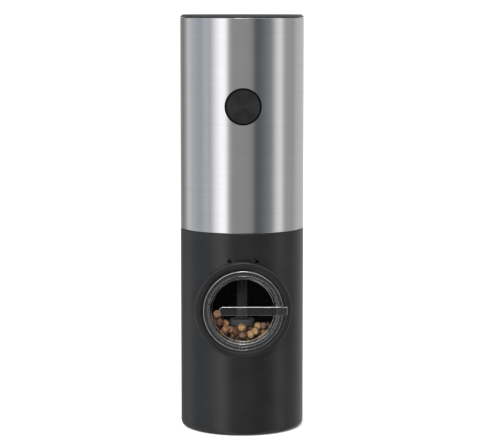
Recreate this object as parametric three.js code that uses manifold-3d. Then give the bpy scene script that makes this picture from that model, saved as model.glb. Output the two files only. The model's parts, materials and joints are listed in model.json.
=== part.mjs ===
// A battery pepper mill: a black lower body with a round clear refill door in front, a steel upper
// sleeve with a push button, and inside them the grinder, the gear train, the motor and four cells.
// Millimetres, +Z up, the front faces -Y, and the origin is the middle of the foot on the table.
import * as THREE from "three";
import { mergeVertices } from "three/addons/utils/BufferGeometryUtils.js";
import Module from "manifold-3d";

const wasm = await Module();
wasm.setup();

// ---- Overall sizes ----
const bodyDiameter = 62;
const totalHeight = 208.5;
const seamHeight = 101.3; // top of the black lower body
const fitGap = 0.3; // between pieces that would touch
const seamGap = 0.2; // at the two visible seams
const bodyRadius = bodyDiameter / 2;

// ---- Shells ----
const bodyWall = 2.2;
const footFillet = 3;
const footInset = 7.8; // from the outside to the round opening underneath
const footThickness = 2.5;
const sleeveWall = 0.7;
const sleeveTopDrop = 1.6; // the steel stops this far below the top
const capChamfer = 1.1;
const chassisWall = 1.8;
const chassisFloorDrop = 9.3; // the underside of the chassis floor, below the seam
const chassisFloor = 3;
const bodyBore = bodyRadius - bodyWall;
const footRadius = bodyRadius - footInset;
const sleeveBore = bodyRadius - sleeveWall;
const chassisRadius = sleeveBore - fitGap - 0.1;
const chassisBore = chassisRadius - chassisWall;
const spigotRadius = bodyBore - fitGap;
const floorBottom = seamHeight - chassisFloorDrop;
const floorTop = floorBottom + chassisFloor;

// ---- Refill door and its collar ----
const doorHeight = 63.3;
const windowRadius = 15.6;
const rimWidth = 4.2; // clear rim round the window
const collarWidth = 4.2; // black flat round the rim
const collarProud = 0.6; // flat front of the collar, in front of the round body
const collarRound = 1;
const doorProud = 0.8; // rim, in front of the collar
const windowSunk = 1.8; // window, behind the front of the collar
const windowThickness = 2;
const neckWall = 1.8;
const neckLength = 7; // from the front of the collar
const flangeSunk = 1.2;
const gasketThickness = 1;
const lipThickness = 2.1;
const lugThickness = 1.8;
const lugHeight = 1.5;
const lugSpan = 24; // degrees
const gripHeight = 4.4;
const gripLeft = 12.1;
const gripBeyondRim = 2;
const gripProud = 1.4; // in front of the collar
const collarFront = bodyRadius + collarProud;
const rimRadius = windowRadius + rimWidth;
const collarRadius = rimRadius + collarWidth;
const neckRadius = windowRadius + 1.5;
const mouthRadius = neckRadius + fitGap + 0.1;
const slotRadius = neckRadius + lugHeight + fitGap + 0.1;
const seatDepth = flangeSunk + gasketThickness + 2 * fitGap;
const mouthDepth = neckLength + 1.2;
const mouthTubeRadius = slotRadius + 1.8;

// ---- Push button and switch ----
const buttonDrop = 44.7; // middle of the button, below the top
const buttonRadius = 8.6;
const buttonGap = 0.5; // black line round the button
const buttonProud = 0.2;
const buttonTravel = 1.5;
const buttonFace = 3.2;
const buttonFlange = 1;
const guideFloor = 1;
const boardThickness = 1.6;
const switchDepth = 2.5;
const switchTip = 1;
const buttonHeight = totalHeight - buttonDrop;

// ---- Grinder ----
const shaftFlats = 5.2;
const shaftBottom = 3.9;
const burrBottom = 8.6;
const burrHeight = 18.4;
const burrWide = 11.4;
const burrNarrow = 6.4;
const burrTeeth = 12;
const ringBurrRadius = 13.9;
const ringBurrHeight = 15;
const ringBurrTeeth = 20;
const carrierWall = 1.4;
const seatBottom = 11;
const seatTop = 30;
const funnelWall = 1.6;
const hubTop = 54.5; // stirring hub
const hubRadius = 6.5;
const hubThickness = 3.4;
const pepperLevel = 49.5;
const burrCarrierBore = ringBurrRadius + fitGap;
const burrCarrierRadius = burrCarrierBore + carrierWall;
const seatRadius = burrCarrierRadius + fitGap + 0.1;
const funnelRadius = spigotRadius - 0.9;
const funnelTop = doorHeight - mouthTubeRadius - 0.5;
const funnelSlope = (funnelTop - seatTop) / (funnelRadius - seatRadius);

// ---- Gear train: two planet stages in one toothed ring, four to one each ----
const gearModule = 0.55;
const sunTeeth = 15;
const planetTeeth = 15;
const ringTeeth = 45;
const backlash = 0.2;
const planetCount = 3;
const lowerGearHeight = 5.2;
const upperGearHeight = 4;
const planetPin = 1.2;
const carrierDisc = 2.3;
const gearRingWall = 3.2;
const outputHub = 5.2;
const orbit = (gearModule * (sunTeeth + planetTeeth)) / 2;
const ringPitch = (gearModule * ringTeeth) / 2;
const gearRingRadius = ringPitch + gearModule + gearRingWall;
const discRadius = ringPitch - 1.2;
const lowerDisc = floorTop + 2 * fitGap;
const lowerGears = lowerDisc + carrierDisc + fitGap;
const upperDisc = lowerGears + lowerGearHeight + fitGap;
const upperGears = upperDisc + carrierDisc + fitGap;
const coverBottom = upperGears + upperGearHeight + 2 * fitGap;
const coverThickness = 2.4;
const coverRadius = gearRingRadius + 8;

// ---- Motor ----
const motorRadius = 12.2;
const motorLength = 27.5;
const motorCapLength = 3;
const motorAxle = 1;
const motorScrewSpacing = 16;
const motorBottom = coverBottom + coverThickness + fitGap;
const motorTop = motorBottom + motorLength;

// ---- Cells ----
const cellRadius = 7.25;
const cellLength = 50.5;
const cellNub = 1.3;
const cellNubRadius = 2.75;
const contactThickness = 0.4;
const holderWall = 1.1;
const dividerThickness = 2;
const capPad = 3.4; // thickness of the cap where it carries the contacts
const cellOffset = cellRadius + 0.65;
const holderHalf = cellOffset + cellRadius + fitGap + holderWall;
const padBottom = totalHeight - capPad;
const cellTop = padBottom - contactThickness - 2 * fitGap;
const cellBottom = cellTop - cellLength;
const dividerTop = cellBottom - contactThickness - 2 * fitGap;
const dividerBottom = dividerTop - dividerThickness;

// ---- Depths of the switch parts, measured out from the mill's axis towards the front ----
const boardBack = holderHalf + fitGap;
const boardFront = boardBack + boardThickness;
const switchBack = boardFront + 0.2;
const tipFront = switchBack + switchDepth + switchTip;
const stemEnd = tipFront + 0.2 + buttonTravel;
const buttonFront = bodyRadius + buttonProud;
const flangeFront = buttonFront - buttonFace;
const flangeBack = flangeFront - buttonFlange;
const guideBack = stemEnd - 1.4;
const buttonHole = buttonRadius + buttonGap;
const guideRadius = buttonHole + 1.8;

// ---- Materials ----
function finish(color, roughness, metalness, opacity = 1) {
  const transparent = opacity < 1;
  return new THREE.MeshStandardMaterial({ color, roughness, metalness, opacity, transparent });
}
const satinBlack = finish(0x17181a, 0.5, 0);
const darkPlastic = finish(0x232528, 0.6, 0);
const brushedSteel = finish(0xb9bbbe, 0.3, 1);
const plainSteel = finish(0x8d9196, 0.35, 1);
const brass = finish(0xc2a35a, 0.35, 1);
const clearPlastic = finish(0xdfe6ea, 0.08, 0, 0.35);
const rubber = finish(0x1b1b1c, 0.85, 0);
const ceramic = finish(0xe9e6df, 0.45, 0);
const gearPlastic = finish(0xe4e0d4, 0.5, 0);
const pepper = finish(0x8a6038, 0.8, 0);
const cellJacket = finish(0x3a5f8c, 0.4, 0.2);
const boardGreen = finish(0x1f6a41, 0.6, 0);
const redLead = finish(0xa8322a, 0.6, 0);
const blackLead = finish(0x202020, 0.6, 0);

const group = new THREE.Group();
group.name = "pepper_mill";

function add(name, geometry, material) {
  const mesh = new THREE.Mesh(geometry, material);
  mesh.name = name;
  group.add(mesh);
  return mesh;
}

// ---- Solids ----
function toSolid(geometry) {
  const bare = geometry.clone();
  bare.deleteAttribute("normal");
  bare.deleteAttribute("uv");
  const merged = mergeVertices(bare, 1e-4);
  const vertProperties = merged.attributes.position.array;
  const triVerts = new Uint32Array(merged.index.array);
  return new wasm.Manifold(new wasm.Mesh({ numProp: 3, vertProperties, triVerts }));
}

function toGeometry(solid) {
  const mesh = solid.getMesh();
  const indexed = new THREE.BufferGeometry();
  indexed.setAttribute("position", new THREE.BufferAttribute(mesh.vertProperties, 3));
  indexed.setIndex(new THREE.BufferAttribute(mesh.triVerts, 1));
  const flat = indexed.toNonIndexed();
  flat.computeVertexNormals();
  return flat;
}

function join(first, ...others) {
  return toGeometry(others.reduce((sum, piece) => sum.add(toSolid(piece)), toSolid(first)));
}

function cut(first, ...others) {
  return toGeometry(others.reduce((rest, piece) => rest.subtract(toSolid(piece)), toSolid(first)));
}

function common(first, second) {
  return toGeometry(toSolid(first).intersect(toSolid(second)));
}

// A profile of [radius, height] pairs, turned about the Z axis. It runs anticlockwise, either
// from the axis back to the axis or all the way round on itself.
function turned(profile, segments = 36) {
  const points = profile.map(([radius, height]) => new THREE.Vector2(radius, height));
  return new THREE.LatheGeometry(points, segments).rotateX(Math.PI / 2);
}

function ring(inner, outer, bottom, top, segments) {
  const profile = [
    [inner, bottom],
    [outer, bottom],
    [outer, top],
    [inner, top],
    [inner, bottom],
  ];
  return turned(profile, segments);
}

function rod(radius, bottom, top, segments = 20) {
  const profile = [
    [0, bottom],
    [radius, bottom],
    [radius, top],
    [0, top],
  ];
  return turned(profile, segments);
}

function box(x0, x1, y0, y1, z0, z1) {
  const middle = [(x0 + x1) / 2, (y0 + y1) / 2, (z0 + z1) / 2];
  return new THREE.BoxGeometry(x1 - x0, y1 - y0, z1 - z0).translate(...middle);
}

function plate(shape, bottom, top, curveSegments = 12) {
  const options = { depth: top - bottom, bevelEnabled: false, curveSegments };
  return new THREE.ExtrudeGeometry(shape, options).translate(0, 0, bottom);
}

// Turns a piece built about +Z so that it points out of the front, at the given height.
function facingFront(geometry, height) {
  return geometry.rotateX(Math.PI / 2).translate(0, 0, height);
}

function spin(geometry, degrees) {
  return geometry.rotateZ(THREE.MathUtils.degToRad(degrees));
}

function outline(Kind, points) {
  return new Kind(points.map(([x, y]) => new THREE.Vector2(x, y)));
}

function circle(Kind, radius, x = 0, y = 0) {
  return new Kind().absarc(x, y, radius, 0, Math.PI * 2, Kind === THREE.Path);
}

function hexagon(Kind, flats) {
  const corner = flats / Math.sqrt(3);
  const angles = Array.from({ length: 6 }, (_, k) => ((k + 0.5) * Math.PI) / 3);
  return outline(Kind, angles.map((a) => [corner * Math.cos(a), corner * Math.sin(a)]));
}

function arcBlock(inner, outer, bottom, top, middle, span) {
  const from = THREE.MathUtils.degToRad(middle - span / 2);
  const to = THREE.MathUtils.degToRad(middle + span / 2);
  const shape = new THREE.Shape();
  shape.absarc(0, 0, outer, from, to, false);
  shape.absarc(0, 0, inner, to, from, true);
  shape.closePath();
  return plate(shape, bottom, top, 6);
}

function roundBox(half, corner) {
  const inner = half - corner;
  const shape = new THREE.Shape();
  shape.absarc(inner, inner, corner, 0, Math.PI / 2, false);
  shape.absarc(-inner, inner, corner, Math.PI / 2, Math.PI, false);
  shape.absarc(-inner, -inner, corner, Math.PI, 1.5 * Math.PI, false);
  shape.absarc(inner, -inner, corner, 1.5 * Math.PI, 2 * Math.PI, false);
  shape.closePath();
  return shape;
}

function wire(points, radius, steps, sides = 4) {
  const extrudePath = new THREE.CatmullRomCurve3(points.map((p) => new THREE.Vector3(...p)));
  const options = { steps, extrudePath, bevelEnabled: false, curveSegments: sides };
  return new THREE.ExtrudeGeometry(circle(THREE.Shape, radius), options);
}

function around(count, start = 90) {
  return Array.from({ length: count }, (_, k) => start + (360 * k) / count);
}

function polar(radius, degrees) {
  const angle = THREE.MathUtils.degToRad(degrees);
  return [radius * Math.cos(angle), radius * Math.sin(angle)];
}

function quarter(cx, cy, radius, from, to, steps = 4) {
  return Array.from({ length: steps + 1 }, (_, k) => {
    const angle = THREE.MathUtils.degToRad(from + ((to - from) * k) / steps);
    return [cx + radius * Math.cos(angle), cy + radius * Math.sin(angle)];
  });
}

// ---- Lower body: turned shell, flat round collar in front, stepped mouth with two lug slots ----
const shell = turned(
  [
    [footRadius, 0],
    [bodyRadius - footFillet, 0],
    ...quarter(bodyRadius - footFillet, footFillet, footFillet, -67, 0, 3),
    [bodyRadius, seamHeight - 0.3],
    [bodyRadius - 0.3, seamHeight],
    [bodyBore, seamHeight],
    [bodyBore, footThickness],
    [footRadius, footThickness],
    [footRadius, 0],
  ],
  54,
);
const collarSolid = turned(
  [
    [0, bodyRadius / 3],
    [collarRadius, bodyRadius / 3],
    ...quarter(collarRadius - collarRound, collarFront - collarRound, collarRound, 0, 90, 2),
    [0, collarFront],
  ],
  48,
);
const collar = cut(facingFront(collarSolid, doorHeight), rod(bodyBore, 0, seamHeight, 54));
const mouthTube = facingFront(
  rod(mouthTubeRadius, collarFront - mouthDepth, collarFront - 1, 42),
  doorHeight,
);
const mouth = turned(
  [
    [0, 0],
    [slotRadius, 0],
    [slotRadius, collarFront - seatDepth - lipThickness],
    [mouthRadius, collarFront - seatDepth - lipThickness],
    [mouthRadius, collarFront - seatDepth],
    [rimRadius + 0.4, collarFront - seatDepth],
    [rimRadius + 0.4, collarFront + 1],
    [0, collarFront + 1],
  ],
  42,
);
const slots = [0, 180].map((middle) => {
  const back = collarFront - mouthDepth - 1;
  const block = arcBlock(mouthRadius - 1, slotRadius, back, collarFront, middle, lugSpan + 5);
  return facingFront(block, doorHeight);
});
const footScrewRadius = footRadius + 2.4;
const footScrewAngles = around(3);
const footScrewHoles = footScrewAngles.flatMap((angle) => {
  const [x, y] = polar(footScrewRadius, angle);
  return [rod(2, -1, 1.3, 14).translate(x, y, 0), rod(1.25, -1, footThickness + 1, 10).translate(x, y, 0)];
});
add(
  "lower_body",
  cut(join(shell, collar, mouthTube), facingFront(mouth, doorHeight), ...slots, ...footScrewHoles),
  satinBlack,
);

// ---- Steel sleeve, with the hole for the button ----
const sleeveBottom = seamHeight + seamGap;
const sleeveTop = totalHeight - sleeveTopDrop;
function frontHole(radius, from, segments = 36) {
  return facingFront(rod(radius, from, bodyRadius + 5, segments), buttonHeight);
}
add(
  "steel_sleeve",
  cut(ring(sleeveBore, bodyRadius, sleeveBottom, sleeveTop, 54), frontHole(buttonHole, 10)),
  brushedSteel,
);

// ---- Chassis: hopper ceiling, gearbox seat, screw posts, ribs and the inner tube ----
const chassisTop = sleeveTop - 1.6;
const supportAngles = around(3);
const sealRecess = outputHub + 2.8;
const shaftHole = outputHub + fitGap + 0.1;
const seatWall = gearRingRadius + fitGap;
const postRadius = coverRadius - 3.4;
const chassisShell = turned(
  [
    [shaftHole, floorBottom + 1.5],
    [sealRecess, floorBottom + 1.5],
    [sealRecess, floorBottom],
    [spigotRadius, floorBottom],
    [spigotRadius, seamHeight + fitGap],
    [chassisRadius, seamHeight + fitGap],
    [chassisRadius, chassisTop],
    [chassisBore, chassisTop],
    [chassisBore, seamHeight + 2.5],
    [spigotRadius - chassisWall, seamHeight + 1],
    [spigotRadius - chassisWall, floorTop],
    [seatWall + 1.8, floorTop],
    [seatWall + 1.8, floorTop + 4],
    [seatWall, floorTop + 4],
    [seatWall, floorTop],
    [shaftHole, floorTop],
    [shaftHole, floorBottom + 1.5],
  ],
  42,
);
const ribs = supportAngles.map((angle) => {
  const reach = (chassisBore + spigotRadius) / 2;
  const rib = box(coverRadius + 0.5, reach, -1.5, 1.5, floorTop - 1, dividerBottom - fitGap);
  return spin(rib, angle);
});
const posts = supportAngles.map((angle) => {
  const [x, y] = polar(postRadius, angle);
  return ring(1.2, 2.8, floorTop - 1, coverBottom - fitGap, 14).translate(x, y, 0);
});
add(
  "chassis",
  cut(join(chassisShell, ...ribs, ...posts), frontHole(guideRadius + fitGap, 10)),
  darkPlastic,
);
add(
  "shaft_seal",
  ring(outputHub + fitGap, sealRecess - fitGap, floorBottom, floorBottom + 1.2, 20),
  rubber,
);

// ---- Grinder housing: skirt, funnel and burr seat ----
const housingBottom = footThickness + fitGap;
const housingPlate = 2.5;
const housing = turned(
  [
    [footRadius + 0.2, housingBottom],
    [spigotRadius, housingBottom],
    [spigotRadius, funnelTop],
    [funnelRadius, funnelTop],
    [seatRadius, seatTop],
    [seatRadius, seatBottom],
    [seatRadius + funnelWall, seatBottom],
    [seatRadius + funnelWall, seatTop - 1],
    [spigotRadius - funnelWall, funnelTop - 3.2],
    [spigotRadius - funnelWall, housingBottom + housingPlate],
    [footRadius + 0.2, housingBottom + housingPlate],
    [footRadius + 0.2, housingBottom],
  ],
  40,
);
const housingHoles = footScrewAngles.map((angle) => {
  const [x, y] = polar(footScrewRadius, angle);
  return rod(1.25, 0, housingBottom + housingPlate + 1, 10).translate(x, y, 0);
});
add("grinder_housing", cut(housing, ...housingHoles), darkPlastic);

// A pan-head screw that points up, with a slot under its head.
function screw(headRadius, headHeight, shank, length) {
  const body = turned(
    [
      [0, 0],
      [headRadius, 0],
      [headRadius, headHeight],
      [shank, headHeight],
      [shank, headHeight + length],
      [0, headHeight + length],
    ],
    12,
  );
  return cut(body, box(-headRadius, headRadius, -0.25, 0.25, -1, headHeight * 0.4));
}
footScrewAngles.forEach((angle, k) => {
  const [x, y] = polar(footScrewRadius, angle);
  add(`housing_screw_${k + 1}`, screw(1.7, 0.7, 0.95, 4).translate(x, y, 0.3), plainSteel);
});

// ---- Shaft guide: a three-armed spider that rests in the funnel ----
const guideTop = seatTop + 5.2;
const guideHub = ring(shaftFlats / 2 + 0.8, 5.4, guideTop - 4, guideTop, 20);
const guideReach = seatRadius + (guideTop - 2 - seatTop) / funnelSlope - 0.7;
const guideArms = around(3, 30).map((angle) => {
  return spin(box(4.6, guideReach, -1.3, 1.3, guideTop - 2, guideTop), angle);
});
add("shaft_guide", join(guideHub, ...guideArms), darkPlastic);

// ---- Burrs: toothed cones, twisted along their height ----
function toothedCone(teeth, depth, low, high, bottom, height, twist, steps) {
  const points = [];
  for (let k = 0; k < teeth; k += 1) {
    points.push(polar(1, (360 * k) / teeth));
    points.push(polar(1, (360 * (k + 0.3)) / teeth));
    points.push(polar(1 - depth, (360 * (k + 0.85)) / teeth));
  }
  const shape = outline(THREE.Shape, points);
  const cone = new THREE.ExtrudeGeometry(shape, { depth: 1, steps, bevelEnabled: false });
  const position = cone.attributes.position;
  for (let k = 0; k < position.count; k += 1) {
    const part = position.getZ(k);
    const reach = low + (high - low) * part;
    const turn = THREE.MathUtils.degToRad(twist * part);
    const x = position.getX(k) * reach;
    const y = position.getY(k) * reach;
    const turnedX = x * Math.cos(turn) - y * Math.sin(turn);
    const turnedY = x * Math.sin(turn) + y * Math.cos(turn);
    position.setXYZ(k, turnedX, turnedY, bottom + height * part);
  }
  return cone;
}
const driveHole = plate(hexagon(THREE.Shape, shaftFlats + 2 * 0.2), -1, totalHeight);
add(
  "inner_burr",
  cut(toothedCone(burrTeeth, 0.12, burrWide, burrNarrow, burrBottom, burrHeight, 40, 6), driveHole),
  ceramic,
);
const ringBurrBore = toothedCone(
  ringBurrTeeth,
  0.07,
  ringBurrRadius - 0.7,
  ringBurrRadius - 0.4,
  burrBottom - 0.5,
  ringBurrHeight + 2,
  -20,
  2,
);
const ringBurrBottom = burrBottom + fitGap;
const ringBurrTop = ringBurrBottom + ringBurrHeight;
add(
  "outer_burr",
  cut(rod(ringBurrRadius, ringBurrBottom, ringBurrTop, 36), ringBurrBore),
  ceramic,
);
const carrierLip = ringBurrRadius - 0.9;
const burrCarrierProfile = [
  [burrCarrierBore - 0.2, 2.4],
  [burrCarrierRadius, 2.4],
  [burrCarrierRadius, ringBurrTop + 1],
  [burrCarrierBore, ringBurrTop + 1],
  [burrCarrierBore, burrBottom],
  [carrierLip, burrBottom],
  [carrierLip, burrBottom - 1],
  [burrCarrierBore - 0.2, burrBottom - 2.2],
  [burrCarrierBore - 0.2, 2.4],
];
add("burr_carrier", turned(burrCarrierProfile), darkPlastic);

// ---- Grind adjuster: a ring with finger notches, reached from underneath ----
const adjusterRadius = footRadius - 0.4;
const adjusterBore = burrCarrierRadius + fitGap + 0.1;
const adjusterFlange = housingBottom + housingPlate + fitGap;
const adjusterProfile = [
  [adjusterBore, 0.9],
  [adjusterRadius - 0.5, 0.9],
  [adjusterRadius, 1.4],
  [adjusterRadius, adjusterFlange],
  [adjusterRadius + 2.6, adjusterFlange],
  [adjusterRadius + 2.6, adjusterFlange + 1.8],
  [adjusterBore, adjusterFlange + 1.8],
  [adjusterBore, 0.9],
];
const notches = around(12, 0).map((angle) => {
  return spin(box(adjusterBore + 2, adjusterRadius + 1, -1.1, 1.1, 0, 2.4), angle);
});
add("adjust_ring", cut(turned(adjusterProfile), ...notches), darkPlastic);

// ---- Drive shaft, nut and stirring hub ----
const shaftTop = floorTop + 0.2;
add("drive_shaft", plate(hexagon(THREE.Shape, shaftFlats), shaftBottom, shaftTop), plainSteel);
const nutShape = hexagon(THREE.Shape, 8);
nutShape.holes.push(hexagon(THREE.Path, shaftFlats + 2 * 0.2));
add("burr_nut", plate(nutShape, shaftBottom + 0.5, burrBottom - 0.4), brass);
const hubBottom = hubTop - hubThickness;
const stirrerHub = turned(
  [
    [0, hubBottom - 7],
    [4.6, hubBottom - 7],
    [4.6, hubBottom - 1.5],
    [hubRadius - 0.5, hubBottom],
    [hubRadius, hubBottom + 0.5],
    [hubRadius, hubTop - 0.6],
    [hubRadius - 0.6, hubTop],
    [0, hubTop],
  ],
  28,
);
const vanes = around(3).map((angle) => spin(box(4, 8.3, -0.9, 0.9, hubBottom - 6.5, hubBottom - 2.5), angle));
add("stirring_hub", cut(join(stirrerHub, ...vanes), driveHole), darkPlastic);

// ---- Peppercorns, as one heap round the stirring hub ----
const heapInner = 9.3;
const heapOuter = bodyBore - 1;
const heapBottom = guideTop + 1.3;
const heapKnee = seatRadius + (heapBottom - seatTop) / funnelSlope - 0.8;
const heap = turned(
  [
    [heapInner, heapBottom],
    [heapKnee, heapBottom],
    [funnelRadius - 0.8, funnelTop],
    [heapOuter, funnelTop + 0.8],
    [heapOuter, pepperLevel],
    [heapInner, pepperLevel],
    [heapInner, heapBottom],
  ],
  24,
);
const corns = Array.from({ length: 18 }, (_, k) => {
  const reach = heapInner + 2.4 + (heapOuter - heapInner - 4.8) * Math.sqrt((k + 0.5) / 18);
  const [x, y] = polar(reach, k * 137.5);
  return new THREE.IcosahedronGeometry(2.1, 1).rotateX(k).rotateZ(2 * k).translate(x, y, pepperLevel - 0.3);
});
// The heap stops at the door's mouth, and a little of it lies inside the neck behind the window.
const mouthSpace = facingFront(
  rod(mouthTubeRadius + 0.6, collarFront - mouthDepth - 0.5, collarFront, 36),
  doorHeight,
);
const neckBore = neckRadius - neckWall - fitGap;
const windowBack = collarFront - windowSunk - windowThickness;
const neckFill = facingFront(
  rod(neckBore, collarFront - mouthDepth - 2, windowBack - fitGap, 36),
  doorHeight,
);
const belowLevel = rod(bodyRadius, 0, pepperLevel - 0.5, 8);
add("peppercorns", join(cut(join(heap, ...corns), mouthSpace), common(neckFill, belowLevel)), pepper);

// ---- Gears: shortened teeth whose straight flanks run through the involute at root and tip ----
function gearOutline(Kind, teeth, outward, inward, slack) {
  const pitch = (gearModule * teeth) / 2;
  const base = pitch * Math.cos(THREE.MathUtils.degToRad(20));
  const involute = (radius) => {
    const pressure = Math.acos(Math.min(1, base / radius));
    return Math.tan(pressure) - pressure;
  };
  const halfTooth = Math.PI / 2 / teeth - slack / 2 / pitch + involute(pitch);
  const reaches = [pitch - inward, pitch + outward];
  const points = [];
  for (let k = 0; k < teeth; k += 1) {
    const middle = (2 * Math.PI * k) / teeth;
    const rising = reaches.map((r) => [r, middle - halfTooth + involute(r)]);
    const falling = reaches.map((r) => [r, middle + halfTooth - involute(r)]).reverse();
    points.push(...rising, ...falling);
  }
  return outline(Kind, points.map(([r, a]) => [r * Math.cos(a), r * Math.sin(a)]));
}
const tip = 0.8 * gearModule;
const root = gearModule;
const sunShape = () => gearOutline(THREE.Shape, sunTeeth, tip, root, backlash / 2);

const gearRingShape = circle(THREE.Shape, gearRingRadius);
gearRingShape.holes.push(gearOutline(THREE.Path, ringTeeth, root, tip, -backlash / 2));
add("gear_ring", plate(gearRingShape, floorTop + fitGap, coverBottom - fitGap, 18), gearPlastic);

function pins(bottom, top) {
  return around(planetCount, 0).map((angle) => {
    const [x, y] = polar(orbit, angle);
    return rod(planetPin, bottom, top, 12).translate(x, y, 0);
  });
}
const outputBody = rod(discRadius, lowerDisc, lowerDisc + carrierDisc, 28);
const outputHubSolid = rod(outputHub, floorBottom - 3.5, lowerDisc + 0.5, 24);
const outputPins = pins(lowerDisc + 0.5, lowerGears + lowerGearHeight - 0.2);
const socket = plate(hexagon(THREE.Shape, shaftFlats + 2 * 0.2), 0, shaftTop + 0.4);
add("output_carrier", cut(join(outputBody, outputHubSolid, ...outputPins), socket), gearPlastic);

const middleDisc = rod(discRadius, upperDisc, upperDisc + carrierDisc, 28);
const middleSun = plate(sunShape(), lowerGears + 0.2, upperDisc + 0.5);
const middlePins = pins(upperDisc + 0.5, upperGears + upperGearHeight - 0.2);
add("middle_carrier", join(middleDisc, middleSun, ...middlePins), gearPlastic);

function planets(prefix, bottom, height) {
  around(planetCount, 0).forEach((angle, k) => {
    const shape = gearOutline(THREE.Shape, planetTeeth, tip, root, backlash / 2);
    shape.holes.push(circle(THREE.Path, planetPin + fitGap));
    const [x, y] = polar(orbit, angle);
    const gear = spin(plate(shape, bottom, bottom + height, 6), angle).translate(x, y, 0);
    add(`${prefix}_planet_${k + 1}`, gear, gearPlastic);
  });
}
planets("lower", lowerGears, lowerGearHeight);
planets("upper", upperGears, upperGearHeight);

const pinionGear = plate(sunShape(), upperGears + 0.1, upperGears + upperGearHeight + 0.2);
const motorShaft = rod(motorAxle, upperGears + 0.6, motorBottom + 5.5, 10);
add("motor_pinion", join(pinionGear, motorShaft), brass);

// ---- Gearbox cover and its screws ----
const coverTop = coverBottom + coverThickness;
const motorScrewOffsets = [-motorScrewSpacing / 2, motorScrewSpacing / 2];
const coverHoles = [rod(orbit - 3.2, coverBottom - 1, coverTop + 1, 24)];
supportAngles.forEach((angle) => {
  const [x, y] = polar(postRadius, angle);
  coverHoles.push(rod(1.6, coverBottom - 1, coverTop + 1, 10).translate(x, y, 0));
});
motorScrewOffsets.forEach((x) => {
  coverHoles.push(rod(1.4, coverBottom - 1, coverTop + 1, 10).translate(x, 0, 0));
  coverHoles.push(rod(2.5, coverBottom - 1, coverBottom + 1.3, 14).translate(x, 0, 0));
});
add("gearbox_cover", cut(rod(coverRadius, coverBottom, coverTop, 36), ...coverHoles), darkPlastic);
supportAngles.forEach((angle, k) => {
  const [x, y] = polar(postRadius, angle);
  const pointingDown = screw(2.4, 1.3, 0.9, 7).rotateX(Math.PI);
  add(`cover_screw_${k + 1}`, pointingDown.translate(x, y, coverTop + 1.3 + fitGap), plainSteel);
});

// ---- Motor ----
const motorCan = turned(
  [
    [0, motorBottom + 6.5],
    [motorAxle + 0.4, motorBottom + 6.5],
    [motorAxle + 0.4, motorBottom],
    [motorRadius - 0.8, motorBottom],
    [motorRadius, motorBottom + 0.8],
    [motorRadius, motorTop],
    [0, motorTop],
  ],
  28,
);
const tappedHoles = motorScrewOffsets.map((x) => {
  return rod(1.3, motorBottom - 1, motorBottom + 4, 10).translate(x, 0, 0);
});
add("motor_can", cut(motorCan, ...tappedHoles), plainSteel);
motorScrewOffsets.forEach((x, k) => {
  add(
    `motor_screw_${k + 1}`,
    screw(2.1, 0.9, 0.95, 4.5).translate(x, 0, coverBottom + 0.1),
    plainSteel,
  );
});
const motorCapBottom = motorTop + fitGap;
const motorCapTop = motorCapBottom + motorCapLength;
const motorCap = turned(
  [
    [0, motorCapBottom],
    [motorRadius - 0.6, motorCapBottom],
    [motorRadius - 0.6, motorCapTop - 0.8],
    [motorRadius - 1.4, motorCapTop],
    [4, motorCapTop],
    [3.5, motorCapTop + 1],
    [0, motorCapTop + 1],
  ],
  28,
);
const terminalReach = 7.5;
const terminalSlots = [-1, 1].map((side) => {
  const x = side * terminalReach;
  return box(x - 0.7, x + 0.7, -1.9, 1.9, motorCapTop - 1.5, motorCapTop + 1);
});
add("motor_cap", cut(motorCap, ...terminalSlots), darkPlastic);
const terminalTop = motorCapTop + 1.8;
["left", "right"].forEach((side, k) => {
  const x = (2 * k - 1) * terminalReach;
  const tab = box(x - 0.3, x + 0.3, -1.5, 1.5, motorCapTop - 1.2, terminalTop);
  add(`motor_terminal_${side}`, tab, brass);
});

// ---- Divider, cells, holder and contacts ----
const leadX = 5;
const leadY = -(boardFront + 3);
const leadHoles = [-leadX, leadX].map((x) => {
  return rod(1.6, dividerBottom - 1, dividerTop + 1, 12).translate(x, leadY, 0);
});
add(
  "divider_plate",
  cut(rod(chassisBore - fitGap - 0.1, dividerBottom, dividerTop, 40), ...leadHoles),
  darkPlastic,
);
const holderShape = roundBox(holderHalf, holderHalf - cellOffset + 1);
const corners = [
  [-cellOffset, -cellOffset],
  [-cellOffset, cellOffset],
  [cellOffset, cellOffset],
  [cellOffset, -cellOffset],
];
corners.forEach(([x, y]) => {
  holderShape.holes.push(circle(THREE.Path, cellRadius + fitGap, x, y));
});
add("cell_holder", plate(holderShape, cellBottom, cellTop - 2.2, 9), darkPlastic);
const cell = turned(
  [
    [0, 0],
    [cellRadius, 0],
    [cellRadius, cellLength - cellNub - 0.5],
    [cellRadius - 0.5, cellLength - cellNub],
    [cellNubRadius, cellLength - cellNub],
    [cellNubRadius, cellLength],
    [0, cellLength],
  ],
  20,
);
corners.forEach(([x, y], k) => {
  const upright = k % 2 === 0;
  const turnedCell = upright ? cell.clone() : cell.clone().rotateX(Math.PI).translate(0, 0, cellLength);
  add(`cell_${k + 1}`, turnedCell.translate(x, y, cellBottom), cellJacket);
});
// A leaf contact with a pressed dimple under or over each cell it touches.
function contact(x, y, halfX, halfY, bottom) {
  return box(x - halfX, x + halfX, y - halfY, y + halfY, bottom, bottom + contactThickness);
}
const lowContact = dividerTop + fitGap;
const highContact = cellTop + fitGap;
const leaf = 4.5;
const far = cellOffset + leaf;
add("contact_minus", contact(-cellOffset, -cellOffset, leaf, leaf, lowContact), brass);
add("contact_plus", contact(cellOffset, -cellOffset, leaf, leaf, lowContact), brass);
add("contact_bridge_low", contact(0, cellOffset, far, leaf, lowContact), brass);
add("contact_bridge_left", contact(-cellOffset, 0, leaf, far, highContact), brass);
add("contact_bridge_right", contact(cellOffset, 0, leaf, far, highContact), brass);

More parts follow.
